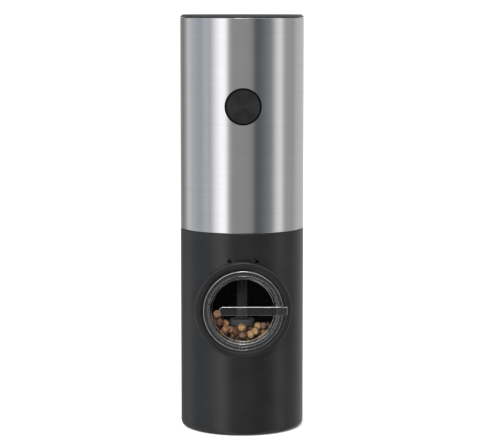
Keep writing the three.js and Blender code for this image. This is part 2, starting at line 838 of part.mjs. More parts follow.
// ---- Top cap: chamfered lid, skirt and contact pad, with a gasket in the skirt ----
const skirtRadius = chassisBore - fitGap - 0.1;
const skirtBore = skirtRadius - 1.8;
const skirtBottom = totalHeight - 7;
const capUnderside = sleeveTop + seamGap;
const gasketGroove = [skirtBottom + 1.4, skirtBottom + 3.2];
const capProfile = [
  [0, padBottom],
  [holderHalf + 3, padBottom],
  [holderHalf + 3, padBottom + 1.2],
  [skirtBore, padBottom + 1.2],
  [skirtBore, skirtBottom],
  [skirtRadius, skirtBottom],
  [skirtRadius, gasketGroove[0]],
  [skirtRadius - 1, gasketGroove[0]],
  [skirtRadius - 1, gasketGroove[1]],
  [skirtRadius, gasketGroove[1]],
  [skirtRadius, capUnderside],
  [bodyRadius, capUnderside],
  [bodyRadius, totalHeight - capChamfer],
  [bodyRadius - capChamfer, totalHeight],
  [0, totalHeight],
];
add("top_cap", turned(capProfile, 48), satinBlack);
add(
  "cap_gasket",
  ring(skirtRadius - 0.7, skirtRadius + 0.1, gasketGroove[0] + fitGap, gasketGroove[1] - fitGap, 30),
  rubber,
);

// ---- Switch board, switch, guide, button and return spring ----
add(
  "switch_board",
  box(-8, 8, -boardFront, -boardBack, buttonHeight - 10, buttonHeight + 8),
  boardGreen,
);
const switchBox = box(-3, 3, -3, 3, switchBack, switchBack + switchDepth);
const switchStub = rod(1.6, switchBack + 0.5, tipFront, 14);
add("switch", facingFront(join(switchBox, switchStub), buttonHeight), darkPlastic);

const guideProfile = [
  [2.6, guideBack],
  [guideRadius, guideBack],
  [guideRadius, bodyRadius + 1],
  [buttonRadius + 0.35, bodyRadius + 1],
  [buttonRadius + 0.35, flangeFront + fitGap],
  [guideRadius - 1.1, flangeFront + fitGap],
  [guideRadius - 1.1, guideBack + guideFloor],
  [2.6, guideBack + guideFloor],
  [2.6, guideBack],
];
// The guide ends just under the sleeve and just above the divider plate.
const guideEnvelope = rod(
  sleeveBore - fitGap,
  dividerTop + fitGap,
  buttonHeight + guideRadius + 1,
  54,
);
add(
  "button_guide",
  common(facingFront(turned(guideProfile), buttonHeight), guideEnvelope),
  darkPlastic,
);
const buttonProfile = [
  [0, stemEnd],
  [1.8, stemEnd],
  [1.8, flangeBack],
  [buttonHole + 0.3, flangeBack],
  [buttonHole + 0.3, flangeFront],
  [buttonRadius, flangeFront],
  [buttonRadius, buttonFront - 0.45],
  [buttonRadius - 0.15, buttonFront - 0.15],
  [buttonRadius - 0.45, buttonFront],
  [0, buttonFront],
];
add("button", facingFront(turned(buttonProfile), buttonHeight), satinBlack);
const springTurns = 2.25;
const springStart = guideBack + guideFloor + 0.5;
const springEnd = flangeBack - 0.5;
const springPoints = Array.from({ length: 24 }, (_, k) => {
  const part = k / 23;
  const [x, y] = polar(4.2, 360 * springTurns * part);
  return [x, y, springStart + (springEnd - springStart) * part];
});
add("button_spring", facingFront(wire(springPoints, 0.25, 40, 3), buttonHeight), plainSteel);

// ---- Leads from the switch side down to the motor terminals ----
["left", "right"].forEach((side, k) => {
  const x = (2 * k - 1) * leadX;
  const end = (2 * k - 1) * terminalReach;
  const path = [
    [x, leadY, buttonHeight - 7],
    [x, leadY, dividerTop + 2],
    [x, leadY, dividerBottom - 2],
    [(x + end) / 2, leadY / 2, (dividerBottom + terminalTop) / 2],
    [end, 0, terminalTop + 0.9],
  ];
  add(`lead_${side}`, wire(path, 0.6, 16, 3), k ? redLead : blackLead);
});

// ---- Refill door: one clear moulding with a neck, two lugs and a grip bar ----
const doorProfile = [
  [0, -windowSunk - windowThickness],
  [neckRadius - neckWall, -windowSunk - windowThickness],
  [neckRadius - neckWall, -neckLength],
  [neckRadius, -neckLength],
  [neckRadius, -flangeSunk],
  [rimRadius, -flangeSunk],
  [rimRadius, doorProud - 0.5],
  [rimRadius - 0.15, doorProud - 0.15],
  [rimRadius - 0.5, doorProud],
  [windowRadius + 2.3, doorProud],
  [windowRadius + 2.15, doorProud - 0.3],
  [windowRadius + 1.9, doorProud - 0.3],
  [windowRadius + 1.75, doorProud],
  [windowRadius + 1.1, doorProud],
  [windowRadius + 0.8, doorProud - 0.25],
  [windowRadius, -windowSunk],
  [0, -windowSunk],
].map(([radius, depth]) => [radius, collarFront + depth]);
const lugs = [0, 180].map((middle) => {
  const back = collarFront - neckLength;
  return arcBlock(neckRadius - 0.6, neckRadius + lugHeight, back, back + lugThickness, middle, lugSpan);
});
const halfGrip = gripHeight / 2;
const gripShape = new THREE.Shape();
gripShape.absarc(-gripLeft + halfGrip, 0, halfGrip - 0.3, Math.PI / 2, 1.5 * Math.PI, false);
gripShape.lineTo(windowRadius + 0.9, -halfGrip + 0.3);
gripShape.lineTo(windowRadius + 0.9, halfGrip - 0.3);
gripShape.closePath();
const gripBevel = { bevelThickness: 0.3, bevelSize: 0.3, bevelSegments: 2 };
const gripDepth = windowSunk + gripProud + 0.2;
const grip = new THREE.ExtrudeGeometry(gripShape, {
  depth: gripDepth,
  curveSegments: 8,
  ...gripBevel,
}).translate(0, 0, collarFront + gripProud - gripDepth - 0.3);
const pointer = box(
  windowRadius,
  rimRadius + gripBeyondRim,
  -halfGrip,
  halfGrip,
  collarFront + fitGap,
  collarFront + gripProud,
);
add(
  "refill_door",
  facingFront(join(turned(doorProfile, 44), ...lugs, grip, pointer), doorHeight),
  clearPlastic,
);
const gasketFront = collarFront - flangeSunk - fitGap;
add(
  "door_gasket",
  facingFront(ring(neckRadius + fitGap, rimRadius - 0.3, gasketFront - gasketThickness, gasketFront), doorHeight),
  rubber,
);

export default group;
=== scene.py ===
# %% Load the frame and measure its box
import bmesh, bpy, json, math, random
import numpy as np
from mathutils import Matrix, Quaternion, Vector, noise


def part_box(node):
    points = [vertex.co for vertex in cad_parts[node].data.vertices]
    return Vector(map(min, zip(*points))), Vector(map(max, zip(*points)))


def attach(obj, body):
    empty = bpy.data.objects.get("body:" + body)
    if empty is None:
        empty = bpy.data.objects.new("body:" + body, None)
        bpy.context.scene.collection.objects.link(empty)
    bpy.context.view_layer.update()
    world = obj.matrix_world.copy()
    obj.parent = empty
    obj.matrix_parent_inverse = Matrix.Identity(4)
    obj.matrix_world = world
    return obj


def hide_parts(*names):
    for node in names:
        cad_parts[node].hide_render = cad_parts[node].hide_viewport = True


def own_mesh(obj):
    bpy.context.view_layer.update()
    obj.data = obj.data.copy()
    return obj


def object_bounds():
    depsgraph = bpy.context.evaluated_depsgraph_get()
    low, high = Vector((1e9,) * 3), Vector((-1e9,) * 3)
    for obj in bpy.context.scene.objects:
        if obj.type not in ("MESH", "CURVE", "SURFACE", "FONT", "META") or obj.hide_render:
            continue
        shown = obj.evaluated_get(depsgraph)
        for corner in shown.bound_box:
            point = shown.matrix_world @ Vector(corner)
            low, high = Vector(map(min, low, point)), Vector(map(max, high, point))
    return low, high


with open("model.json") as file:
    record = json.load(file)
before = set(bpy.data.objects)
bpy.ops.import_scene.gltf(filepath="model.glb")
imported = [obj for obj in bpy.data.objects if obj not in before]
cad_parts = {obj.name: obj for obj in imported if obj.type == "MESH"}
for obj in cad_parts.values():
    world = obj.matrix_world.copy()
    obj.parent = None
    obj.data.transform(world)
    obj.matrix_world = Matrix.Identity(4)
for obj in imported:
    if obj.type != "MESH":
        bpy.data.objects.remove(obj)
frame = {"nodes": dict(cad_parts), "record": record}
cad_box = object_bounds()
mm = 0.001
print("CAD box in mm:", [[round(v / mm, 1) for v in corner] for corner in cad_box])

# %% [markdown]
# # A battery pepper mill, finished in Blender
#
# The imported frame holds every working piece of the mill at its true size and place: a black lower
# body with a round clear refill door, a brushed steel tube with a push button, and the grinder,
# the gears, the motor and four cells inside. The frame's pieces are plain and faceted. This lesson
# gives the outside fine meshes and every piece a finish. Sizes are in millimetres, and the front
# faces -Y.

# %% [markdown]
# ## The camera
#
# The mill is seen from the front, from a little above, through a long lens that keeps its sides
# nearly parallel. The camera goes in first, because the lights are placed by what it sees.

# %% Camera
camera_place = Vector((-18.5, -990.4, 214.4)) * mm
looking_down = 6.38  # degrees below level
turned_right = 1.1  # degrees, so that the mill shows a little more of its left side
lens = 145.8  # mm, on a 36 mm sensor

camera = bpy.data.objects.new("camera", bpy.data.cameras.new("camera"))
camera.data.lens, camera.data.sensor_width = lens, 36.0
camera.location = camera_place
camera.rotation_euler = (math.radians(90 - looking_down), 0, math.radians(-turned_right))
bpy.context.scene.collection.objects.link(camera)
bpy.context.scene.camera = camera
bpy.context.scene.view_settings.view_transform = "Standard"
print("camera", round(camera_place.length, 3), "m from the middle of the foot")

# %% [markdown]
# ## Shader maths in plain Python
#
# A material is a small network of nodes. Placing each one by hand makes long code, so a `Wire`
# wraps the output of a node and turns `+`, `-` and `*` into Math nodes. A `Bench` is a node tree
# with one method that adds any other node, settings first and then its sockets.

# %% Wires and benches
class Wire:
    """The output of a node, which can be used in sums like a number."""

    def __init__(self, bench, socket):
        self.bench, self.socket = bench, socket

    def maths(self, operation, *others, first=None):
        terms = ([first] if first is not None else []) + [self, *others]
        return self.bench.node("ShaderNodeMath", {"operation": operation}, dict(enumerate(terms)))

    def __add__(self, other):
        return self.maths("ADD", other)

    def __sub__(self, other):
        return self.maths("SUBTRACT", other)

    def __mul__(self, other):
        return self.maths("MULTIPLY", other)

    def __rsub__(self, other):
        return self.maths("SUBTRACT", first=other)

    __radd__, __rmul__ = __add__, __mul__


class Bench:
    """A node tree, with one method that adds any node to it."""

    def __init__(self, tree):
        self.tree = tree

    def plug(self, value, socket):
        if isinstance(value, Wire):
            self.tree.links.new(value.socket, socket)
        else:
            socket.default_value = value

    def node(self, kind, settings=(), inputs=(), output=0):
        new = self.tree.nodes.new(kind)
        for key, value in dict(settings).items():
            if key == "stops":
                set_stops(new.color_ramp, value)
            else:
                setattr(new, key, value)
        for key, value in dict(inputs).items():
            self.plug(value, new.inputs[key])
        return Wire(self, new.outputs[output])

    def parts(self, vector):
        """The three parts of a vector."""
        split = self.node("ShaderNodeSeparateXYZ", inputs={0: vector}).socket.node
        return [Wire(self, output) for output in split.outputs]


def set_stops(ramp, stops):
    """Gives a colour ramp its stops: (position, colour)."""
    while len(ramp.elements) < len(stops):
        ramp.elements.new(1.0)
    for element, (position, paint) in zip(ramp.elements, stops):
        element.position = position
        element.color = paint


print("shader maths is ready")

# %% [markdown]
# ## The studio around the mill
#
# Brushed steel shows nothing of its own: its stripes are the studio's walls, reflected. The wall
# is painted by compass direction round the mill, with two bright strip lights, a dark flag in
# front to the right and a pale wall behind, and a bright ceiling closes it. A smooth painted wall
# gives soft light with no noise, where rows of small lamps would speckle.

# %% Studio wall and ceiling
# (degrees round from the front, to the right; brightness; blueness)
wall_levels = [
    (-180, 0.60, 0), (-158, 0.30, 0), (-145, 0.20, 0), (-133, 0.34, 0), (-120, 0.64, 0.03),
    (-108, 0.50, 0.10), (-86, 0.38, 0.16), (-72, 0.52, 0.14), (-62, 0.44, 0.06), (-57, 0.70, 0),
    (-50, 0.98, 0), (-41, 1.25, 0), (-33, 1.22, 0), (-29, 0.85, 0), (-25, 0.42, 0), (-19, 0.27, 0),
    (16, 0.25, 0), (20, 0.19, 0), (25, 0.08, 0.05), (33, 0.10, 0.15), (50, 0.20, 0.10),
    (57, 0.26, 0.04), (65, 0.62, 0), (76, 0.88, 0), (81, 0.62, 0), (88, 0.38, 0),
    (108, 0.34, 0), (125, 0.52, 0.02), (160, 0.58, 0), (180, 0.60, 0),
]
ceiling_level = 1.1
ceiling_edge = (0.42, 0.80)  # sine of the height angle where wall turns into ceiling
ramp_top = 2.0  # ramps hold 0 to 1, so levels are stored as a share of this

world = bpy.data.worlds.new("studio")
bpy.context.scene.world = world
world.use_nodes = True
studio = Bench(world.node_tree)
direction = studio.node("ShaderNodeTexCoord", output="Generated")
right, back, up = studio.parts(direction)
turn = right.maths("ARCTAN2", back * -1.0) * (0.5 / math.pi) + 0.5
stops = []
for degrees, level, blueness in wall_levels:
    share = level / ramp_top
    paint = (share * (1 - 0.5 * blueness), share, share * (1 + 0.6 * blueness), 1)
    stops.append((degrees / 360 + 0.5, paint))
wall = studio.node("ShaderNodeValToRGB", {"stops": stops}, {0: turn})
overhead = studio.node(
    "ShaderNodeMapRange",
    {"interpolation_type": "SMOOTHSTEP"},
    {0: up, 1: ceiling_edge[0], 2: ceiling_edge[1], 3: 0.0, 4: 1.0},
)
ceiling = (ceiling_level / ramp_top,) * 3 + (1,)
surround = studio.node(
    "ShaderNodeMix", {"data_type": "RGBA"}, {0: overhead, 6: wall, 7: ceiling}, output=2
)
background = world.node_tree.nodes["Background"]
studio.plug(surround, background.inputs["Color"])
background.inputs["Strength"].default_value = ramp_top
print("studio wall painted with", len(wall_levels), "levels")

# %% [markdown]
# ## Floor and lamps
#
# The floor is one sheet of pale card that curves up behind the mill, as a photographer's sweep
# does. It is hidden from glossy rays, so that the steel mirrors the studio and not a horizon. A
# large soft lamp over the front draws the small highlights on top of the rims, and a second lamp
# beside the camera only fills: it lights the pepper behind the window and leaves no reflection.

# %% Floor sweep
# All in metres: the sheet runs far in front, so that it has no edge in sight from behind the mill.
sweep_back, sweep_round, sweep_top = 2.2, 0.9, 2.6
sweep_front, sweep_side, round_steps = 14.0, 6.0, 12

sweep = bmesh.new()
round_start = sweep_back - sweep_round
outline = [(-sweep_front, 0.0), (round_start, 0.0)]
for k in range(1, round_steps + 1):
    angle = math.radians(90 * k / round_steps)
    outline.append(
        (round_start + sweep_round * math.sin(angle), sweep_round * (1 - math.cos(angle)))
    )
outline.append((sweep_back, sweep_top))
rows = [[sweep.verts.new((side * sweep_side, y, z)) for side in (-1, 1)] for y, z in outline]
for low, high in zip(rows, rows[1:]):
    sweep.faces.new((low[0], low[1], high[1], high[0])).smooth = True
sweep_mesh = bpy.data.meshes.new("floor_sweep")
sweep.to_mesh(sweep_mesh)
sweep.free()
floor_sweep = bpy.data.objects.new("floor_sweep", sweep_mesh)
bpy.context.scene.collection.objects.link(floor_sweep)
floor_sweep.visible_glossy = False
print("floor sweep with", len(sweep_mesh.polygons), "strips")


# %% Lamps
def soft_lamp(name, place, size, power, glossy):
    """A square lamp, in metres and watts, that points at the middle of the mill."""
    data = bpy.data.lights.new(name, "AREA")
    data.shape, data.size, data.energy = "SQUARE", size, power
    lamp = bpy.data.objects.new(name, data)
    lamp.location = place
    middle = (cad_box[0] + cad_box[1]) / 2
    lamp.rotation_euler = (middle - lamp.location).to_track_quat("-Z", "Y").to_euler()
    lamp.visible_glossy = glossy
    bpy.context.scene.collection.objects.link(lamp)


soft_lamp("top_lamp", place=(0.0, -0.42, 1.05), size=0.30, power=1.6, glossy=True)
soft_lamp("fill_lamp", place=(-0.25, -1.15, 0.55), size=0.35, power=16.0, glossy=False)
print("two lamps")

# %% [markdown]
# ## A finish is a bench with a shader
#
# `Finish` starts a material and keeps its shader at hand. Its patterns are soft noises measured in
# millimetres on the mill itself, so they stay put when a piece moves. What is the same all over,
# such as how metallic a piece is, is set straight on the shader.

# %% Finishes
class Finish(Bench):
    """A material with patterns measured in millimetres."""

    def __init__(self, name, **constants):
        self.material = bpy.data.materials.new(name)
        self.material.use_nodes = True
        super().__init__(self.material.node_tree)
        self.shader = self.tree.nodes["Principled BSDF"]
        self.paint(**constants)
        self.place = self.node("ShaderNodeTexCoord", output="Object")

    def paint(self, **inputs):
        """Sets or links the shader's own sockets: Base_Color is its Base Color."""
        for name, value in inputs.items():
            self.plug(value, self.shader.inputs[name.replace("_", " ")])

    def noise(self, size, stretch=(1, 1, 1), detail=2.0, place=None):
        """A soft random pattern from 0 to 1, with spots about `size` mm across."""
        scale = tuple(1 / (size * mm * s) for s in stretch)
        spread = self.node(
            "ShaderNodeVectorMath", {"operation": "MULTIPLY"}, {0: place or self.place, 1: scale}
        )
        return self.node(
            "ShaderNodeTexNoise", inputs={"Vector": spread, "Scale": 1.0, "Detail": detail}
        )

    def contrast(self, pattern, low, high):
        """Stretches the part of a pattern between low and high to 0 to 1."""
        return self.node("ShaderNodeMapRange", inputs={0: pattern, 1: low, 2: high})

    def blend(self, share, first, second):
        """Mixes two colours."""
        return self.node(
            "ShaderNodeMix", {"data_type": "RGBA"}, {0: share, 6: first, 7: second}, output=2
        )

    def bump(self, height, depth):
        """Presses a pattern `depth` mm deep into the surface."""
        return self.node("ShaderNodeBump", inputs={"Distance": depth * mm, "Height": height})


def colour(red, green, blue):
    """A screen colour, 0 to 255, as the linear colour that shaders use."""
    return tuple((v / 255) ** 2.2 for v in (red, green, blue)) + (1,)


print("finishes can be mixed")

# %% [markdown]
# ## Moulded plastic, rubber and ceramic
#
# A moulding takes the surface of its tool: a fine spark-eroded grain, with slow drifts in shade
# and gloss where it cooled unevenly. The grain goes into a shallow bump and into the roughness,
# the drift into the colour. One maker serves every moulded or fired piece, with its own colour and
# gloss. It also makes a matt near-black that is painted shade, for places that lie in shadow.

# %% Moulded finishes
def moulded(name, base, gloss, grain, depth=0.003, **constants):
    """A moulded finish: roughness runs from gloss[0] to gloss[1], grain and depth are in mm."""
    finish = Finish(name, **constants)
    drift = finish.contrast(finish.noise(14.0), 0.3, 0.7)
    grit = finish.noise(grain)
    light = tuple(min(1.0, v * 1.15 + 0.001) for v in base[:3]) + (1,)
    dark = tuple(v * 0.85 for v in base[:3]) + (1,)
    finish.paint(
        Base_Color=finish.blend(drift, dark, light),
        Roughness=gloss[0] + (drift * 0.4 + grit * 0.6) * (gloss[1] - gloss[0]),
        Normal=finish.bump(grit, depth),
    )
    return finish.material


satin_black = moulded("satin_black", colour(28, 28, 29), gloss=(0.26, 0.34), grain=0.30)
dark_plastic = moulded("dark_plastic", colour(33, 34, 36), gloss=(0.48, 0.62), grain=0.45)
rubber = moulded("rubber", colour(30, 30, 31), gloss=(0.70, 0.88), grain=0.25, depth=0.006)
ceramic = moulded("ceramic", colour(226, 222, 212), gloss=(0.30, 0.48), grain=0.20)
gear_plastic = moulded("gear_plastic", colour(222, 216, 200), gloss=(0.36, 0.5), grain=0.5)
red_lead = moulded("red_lead", colour(160, 40, 34), gloss=(0.42, 0.55), grain=0.3)
black_lead = moulded("black_lead", colour(30, 30, 30), gloss=(0.42, 0.55), grain=0.3)
mark_ink = moulded(
    "mark_ink", colour(4, 4, 4), gloss=(0.8, 0.95), grain=0.15, Specular_IOR_Level=0.1
)
# Painted shade: a matt near-black for places that lie in shadow, namely the hopper's inside, the
# chassis, the button guide and the button's edge.
painted_shade_black = moulded(
    "painted_shade_black", colour(12, 12, 12), gloss=(0.8, 0.95), grain=0.6, Specular_IOR_Level=0.12
)
hub_grey = moulded("hub_grey", colour(88, 89, 92), gloss=(0.3, 0.45), grain=0.4)
print("ten moulded finishes")

# %% [markdown]
# ## Brushed steel
#
# The tube was turned against a belt, so its scratches run round it. Light then spreads up and down
# and hardly sideways, which keeps the stripes of the studio crisp. That spread is the shader's
# anisotropy, turned a quarter so that it runs along the mill. Noise that is squeezed along Z and
# stretched round the tube draws the scratches themselves.

# %% Brushed steel
def brushed(name, base, gloss):
    """Metal with fine scratches that run round the mill."""
    finish = Finish(name, Metallic=1.0, Anisotropic=0.92, Anisotropic_Rotation=0.25)
    fine = finish.noise(1.0, stretch=(28, 28, 0.16))
    coarse = finish.noise(1.0, stretch=(45, 45, 0.9))
    scratches = fine * 0.65 + coarse * 0.35
    smudge = finish.contrast(finish.noise(24.0), 0.35, 0.75)
    dull = tuple(v * 0.90 for v in base[:3]) + (1,)
    finish.paint(
        Base_Color=finish.blend(finish.contrast(scratches, 0.25, 0.75), dull, base),
        Roughness=gloss[0] + (scratches * 0.7 + smudge * 0.3) * (gloss[1] - gloss[0]),
        Normal=finish.bump(scratches, 0.0025),
    )
    return finish.material


brushed_steel = brushed("brushed_steel", (0.82, 0.82, 0.83, 1), gloss=(0.19, 0.27))
print("brushed steel")

# %% [markdown]
# ## Turned and drawn metal
#
# Screws, shafts, the motor's can and the brass leaves carry faint rings and a patchy shine. The
# rings follow the distance from the mill's axis, which suits the round pieces and reads as fine
# wear on the flat ones.

# %% Machined metals
def machined(name, base, gloss, pitch=0.35, metal=1.0):
    """Metal with faint rings, `pitch` mm apart, and a patchy shine."""
    finish = Finish(name, Metallic=metal)
    x, y, z = finish.parts(finish.place)
    radius = (x * x + y * y).maths("SQRT")
    rings = finish.node("ShaderNodeCombineXYZ", inputs={0: radius, 2: z})
    lines = finish.noise(pitch, place=rings)
    tarnish = finish.contrast(finish.noise(5.0, detail=4.0), 0.35, 0.7)
    worn = tuple(v * 0.72 for v in base[:3]) + (1,)
    finish.paint(
        Base_Color=finish.blend(tarnish, base, worn),
        Roughness=gloss[0] + (lines * 0.5 + tarnish * 0.5) * (gloss[1] - gloss[0]),
        Normal=finish.bump(lines, 0.002),
    )
    return finish.material


plain_steel = machined("plain_steel", (0.50, 0.51, 0.53, 1), gloss=(0.28, 0.42))
brass = machined("brass", (0.72, 0.52, 0.22, 1), gloss=(0.24, 0.42))
shaft_steel = machined("shaft_steel", (0.09, 0.09, 0.095, 1), gloss=(0.16, 0.26), metal=0.6)
print("steel and brass")

# %% [markdown]
# ## Clear plastic
#
# The door is one clear moulding. Its walls are thin and the hopper behind it is dark, so what one
# sees is light that glances off its edges and a clean view through its flats. So the finish mixes
# a clear sheet, which lets light straight through, with a mirror, and the share of mirror grows
# towards grazing angles as on real acrylic. Pepper behind it is lit without waiting for bent
# light. Faint streaks of polish in the gloss keep it from looking like optical glass. The
# moulding's proud flats and its eased edges gather more light than the sunk window, so they get
# more mirror.

# %% Clear plastic
acrylic_bend = 1.49
face_on = 0.034  # a little under the share that acrylic mirrors when seen face on


def clear_finish(name, sheen, least_mirror, most_mirror):
    """Clear sheet with a mirror mixed in: least face on, most at grazing angles."""
    clear = Finish(name, Metallic=1.0)
    streaks = clear.contrast(clear.noise(2.0, stretch=(3, 1, 0.5), detail=4.0), 0.3, 0.8)
    clear.paint(
        Base_Color=clear.blend(streaks, (0.86, 0.88, 0.89, 1), (0.95, 0.96, 0.97, 1)),
        Roughness=sheen + streaks * 0.05,
        Normal=clear.bump(clear.noise(9.0), 0.004),
    )
    fresnel = clear.node("ShaderNodeFresnel", inputs={"IOR": acrylic_bend})
    glance = clear.contrast(fresnel, face_on, 1.0)
    mirror = least_mirror + glance * (most_mirror - least_mirror)
    sheet = clear.node("ShaderNodeBsdfTransparent", inputs={"Color": (0.95, 0.96, 0.96, 1)})
    mixed = clear.node("ShaderNodeMixShader", inputs={0: mirror, 1: sheet})
    clear.tree.links.new(clear.shader.outputs[0], mixed.socket.node.inputs[2])
    clear.tree.links.new(mixed.socket, clear.tree.nodes["Material Output"].inputs["Surface"])
    return clear.material


clear_plastic = clear_finish("clear_plastic", sheen=0.03, least_mirror=0.0, most_mirror=0.9)
clear_flat = clear_finish("clear_flat", sheen=0.10, least_mirror=0.10, most_mirror=0.9)
clear_edge = clear_finish("clear_edge", sheen=0.12, least_mirror=0.62, most_mirror=0.95)
print("three finishes for clear plastic")

# %% [markdown]
# ## Cells, circuit board and pepper
#
# The cells wear a printed sleeve with a copper band at one end, chosen by height. The board is
# green lacquer over tracks that show as slightly lighter lines. Pepper is dried fruit skin: each
# corn is one of several browns, mottled, darker where the skin has creased.

# %% Cell sleeve and board
cell = Finish("cell_jacket", Metallic=0.35)
height = cell.parts(cell.place)[2]
cell_low, cell_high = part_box("cell_1")
band_share, bare_end, soft_edge = 0.24, 1.9 * mm, 0.1 * mm
band_start = cell_high.z - band_share * (cell_high.z - cell_low.z)
band = cell.contrast(height, band_start, band_start + soft_edge)
bare_start = cell_high.z - bare_end
bare = cell.contrast(height, bare_start, bare_start + soft_edge)
scuffs = cell.noise(2.5, stretch=(1, 1, 4), detail=5.0)
sleeve = cell.blend(band, colour(36, 62, 96), colour(190, 120, 66))
cell.paint(
    Base_Color=cell.blend(bare, sleeve, colour(196, 196, 200)),
    Roughness=0.24 + scuffs * 0.3,
    Normal=cell.bump(scuffs, 0.01),
)
cell_jacket = cell.material

lacquer = Finish("board")
tracks = lacquer.contrast(lacquer.noise(1.6, stretch=(4, 1, 0.6), detail=0.0), 0.48, 0.52)
lacquer.paint(
    Base_Color=lacquer.blend(tracks, colour(20, 84, 48), colour(44, 122, 70)),
    Roughness=0.3 + lacquer.noise(0.8) * 0.2,
    Normal=lacquer.bump(tracks, 0.03),
)
board = lacquer.material
print("cells and board")


# %% Pepper skins
def pepper_skin(name, light, dark):
    """Dried fruit skin, mottled from dark to light."""
    finish = Finish(name, Specular_IOR_Level=0.35)
    mottle = finish.contrast(finish.noise(1.3, detail=4.0), 0.35, 0.68)
    creases = finish.noise(0.45, detail=3.0)
    finish.paint(
        Base_Color=finish.blend(mottle, dark, light),
        Roughness=0.55 + creases * 0.3,
        Normal=finish.bump(creases, 0.10),
    )
    return finish.material


pepper_skins = [
    pepper_skin("pepper_ochre", colour(192, 158, 112), colour(132, 100, 66)),
    pepper_skin("pepper_orange", colour(170, 126, 94), colour(108, 75, 55)),
    pepper_skin("pepper_rose", colour(140, 107, 96), colour(85, 63, 57)),
    pepper_skin("pepper_brown", colour(112, 84, 64), colour(66, 46, 37)),
]
print(len(pepper_skins), "pepper skins")

# %% [markdown]
# ## Finishes for the pieces that stay
#
# Every piece of the frame names the material slot it takes its finish from. One table joins slots
# to finishes, and each piece's own slots are filled from it. Four pieces that show through the
# window or round the button get a finish of their own; the two of them that lie in shadow get
# painted shade, a matt near-black. The shapes of these pieces stay as they are.

# %% Dress the frame's pieces
slot_finishes = dict(
    satin_black=satin_black, dark_plastic=dark_plastic, brushed_steel=brushed_steel,
    plain_steel=plain_steel, brass=brass, clear_plastic=clear_plastic, rubber=rubber,
    ceramic=ceramic, gear_plastic=gear_plastic, pepper=pepper_skins[0], cell_jacket=cell_jacket,
    board=board, red_lead=red_lead, black_lead=black_lead,
)
node_slots = {part["node"]: part["material_slot"] for part in frame["record"]["subparts"]}
for node_name, slot_name in node_slots.items():
    for material_slot in frame["nodes"][node_name].material_slots:
        material_slot.material = slot_finishes[slot_name]
# Painted shade: the button guide and the chassis lie in shadow, so they get the near-black instead
# of their plastic.
for hidden_in_shade in ("button_guide", "chassis"):
    frame["nodes"][hidden_in_shade].material_slots[0].material = painted_shade_black
frame["nodes"]["drive_shaft"].material_slots[0].material = shaft_steel
frame["nodes"]["stirring_hub"].material_slots[0].material = hub_grey
print(len(node_slots), "pieces dressed in", len(slot_finishes), "finishes")

# %% [markdown]
# ## Turning profiles
#
# Nearly every outside piece is round, so it is drawn as half a section and turned, as on a lathe.
# A corner may carry a third number, the radius that eases it: real edges are never sharp, and it
# is the eased edge that catches the light. Pieces that face the front are turned about Z and
# tipped over.

# %% Section, lathe and tip
def eased(section, closed, steps=5):
    """Swaps each corner that carries a radius for an arc."""
    points = []
    count = len(section)
    for k, corner in enumerate(section):
        here = Vector(corner[:2])
        if len(corner) < 3 or (not closed and k in (0, count - 1)):
            points.append(here)
            continue
        before = (Vector(section[k - 1][:2]) - here).normalized()
        after = (Vector(section[(k + 1) % count][:2]) - here).normalized()
        half = before.angle(after) / 2
        centre = here + (before + after).normalized() * corner[2] / math.sin(half)
        start = here + before * corner[2] / math.tan(half) - centre
        end = here + after * corner[2] / math.tan(half) - centre
        sweep_angle = start.angle(end)
        for step in range(steps + 1):
            turned = sweep_angle * step / steps
            arm = start * math.sin(sweep_angle - turned) + end * math.sin(turned)
            points.append(centre + arm / math.sin(sweep_angle))
    return points


def lathe(section, steps=192, closed=True):
    """Turns a section of (radius, height) round the Z axis, in mm.

    A point on the axis stays one point, so the faces beside it are triangles."""
    mesh = bmesh.new()
    rings = []
    for radius, height in eased(section, closed):
        around = 1 if radius < 1e-6 else steps
        ring = []
        for k in range(around):
            a = 2 * math.pi * k / steps
            spot = (radius * math.cos(a) * mm, radius * math.sin(a) * mm, height * mm)
            ring.append(mesh.verts.new(spot))
        rings.append(ring)
    pairs = list(zip(rings, rings[1:])) + ([(rings[-1], rings[0])] if closed else [])
    for low, high in pairs:
        if len(low) == len(high) == 1:
            continue
        for k in range(steps):
            corners = [low[k % len(low)], low[(k + 1) % len(low)]]
            corners += [high[(k + 1) % len(high)], high[k % len(high)]]
            mesh.faces.new(list(dict.fromkeys(corners)))
    bmesh.ops.recalc_face_normals(mesh, faces=mesh.faces)
    return mesh


def skin_over(mesh, loops):
    """Joins a row of equal loops of points into one closed skin."""
    for low, high in zip(loops, loops[1:]):
        for k in range(len(low)):
            n = (k + 1) % len(low)
            mesh.faces.new((low[k], low[n], high[n], high[k]))
    for end in (loops[0], loops[-1]):
        mesh.faces.new(end)
    bmesh.ops.recalc_face_normals(mesh, faces=mesh.faces)
    return mesh


def tip_to_front(mesh, height):
    """Points a piece that was built about +Z out of the front, at the given height in mm."""
    for vert in mesh.verts:
        x, y, z = vert.co
        vert.co = (x, -z, y + height * mm)
    return mesh


print("lathe ready")

# %% [markdown]
# ## From mesh to piece
#
# A piece is a mesh with a finish, riding on a body of the frame and standing for one or more of
# its nodes. Holes and bosses are cut and joined with exact booleans, applied at once. A boolean
# leaves long thin faces, and smooth shading over them shows smears. So the true normals of the
# round walls are worked out from where each point lies, and only the small eased edges keep the
# usual smoothing.

# %% Piece, cut and join
def to_piece(name, mesh, finish, smooth_below=32):
    """Makes an object of a mesh: edges below that angle, in degrees, are shaded smooth."""
    data = bpy.data.meshes.new(name)
    mesh.to_mesh(data)
    mesh.free()
    data.shade_smooth()
    data.set_sharp_from_angle(angle=math.radians(smooth_below))
    data.materials.append(finish)
    piece = bpy.data.objects.new(name, data)
    bpy.context.scene.collection.objects.link(piece)
    return piece


